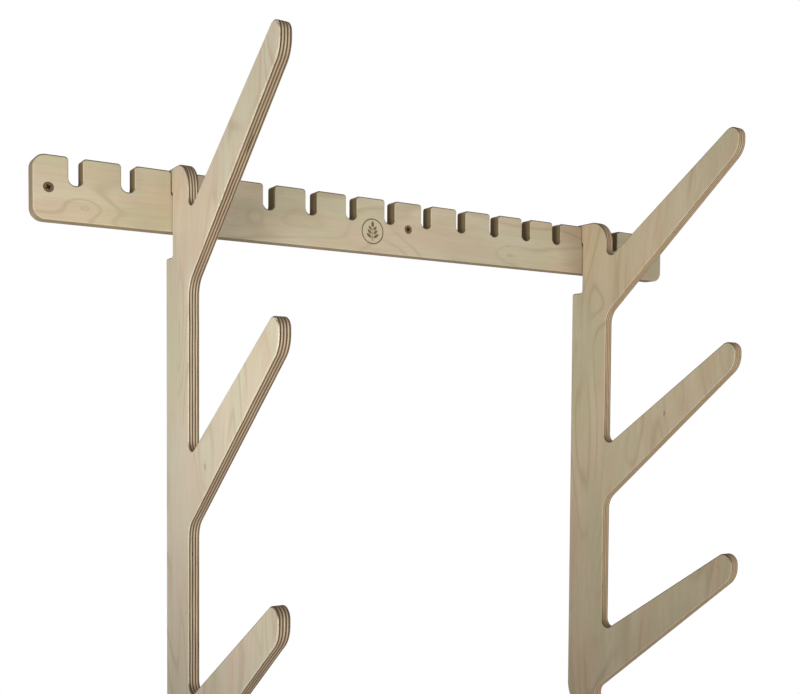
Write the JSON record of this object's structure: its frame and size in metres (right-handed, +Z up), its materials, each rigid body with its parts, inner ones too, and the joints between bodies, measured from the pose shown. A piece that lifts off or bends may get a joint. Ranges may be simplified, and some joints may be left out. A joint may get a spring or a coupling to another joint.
{
  "type": "wall rack",
  "caption": "Wall rack of birch plywood: a notched rail screwed to the wall, and two lift-off uprights with up-slanting arms.",
  "frame": {"origin": "on the rail's back face, which lies on the wall, midway between the two middle notches and 16 mm above the rail's lower edge", "axes": "+X along the rail to the right as seen from the room, +Y into the wall, +Z up"},
  "size_m": [0.842, 0.3087, 0.7187],
  "materials": {
    "birch_plywood": "bare sanded birch veneer with striped edges",
    "bronze_screw": "dark bronze coated steel"
  },
  "bodies": {
    "rail_body": {"rail": "birch_plywood", "screw_left": "bronze_screw", "screw_middle": "bronze_screw", "screw_right": "bronze_screw"},
    "upright_left": {"upright_left": "birch_plywood"},
    "upright_right": {"upright_right": "birch_plywood"}
  },
  "joints": [
    {"name": "lift_left", "type": "slide", "parent": "rail_body", "child": "upright_left", "axis": [0, 0, 1], "range_m": [0, 0.0225]},
    {"name": "lift_right", "type": "slide", "parent": "rail_body", "child": "upright_right", "axis": [0, 0, 1], "range_m": [0, 0.0225]}
  ]
}
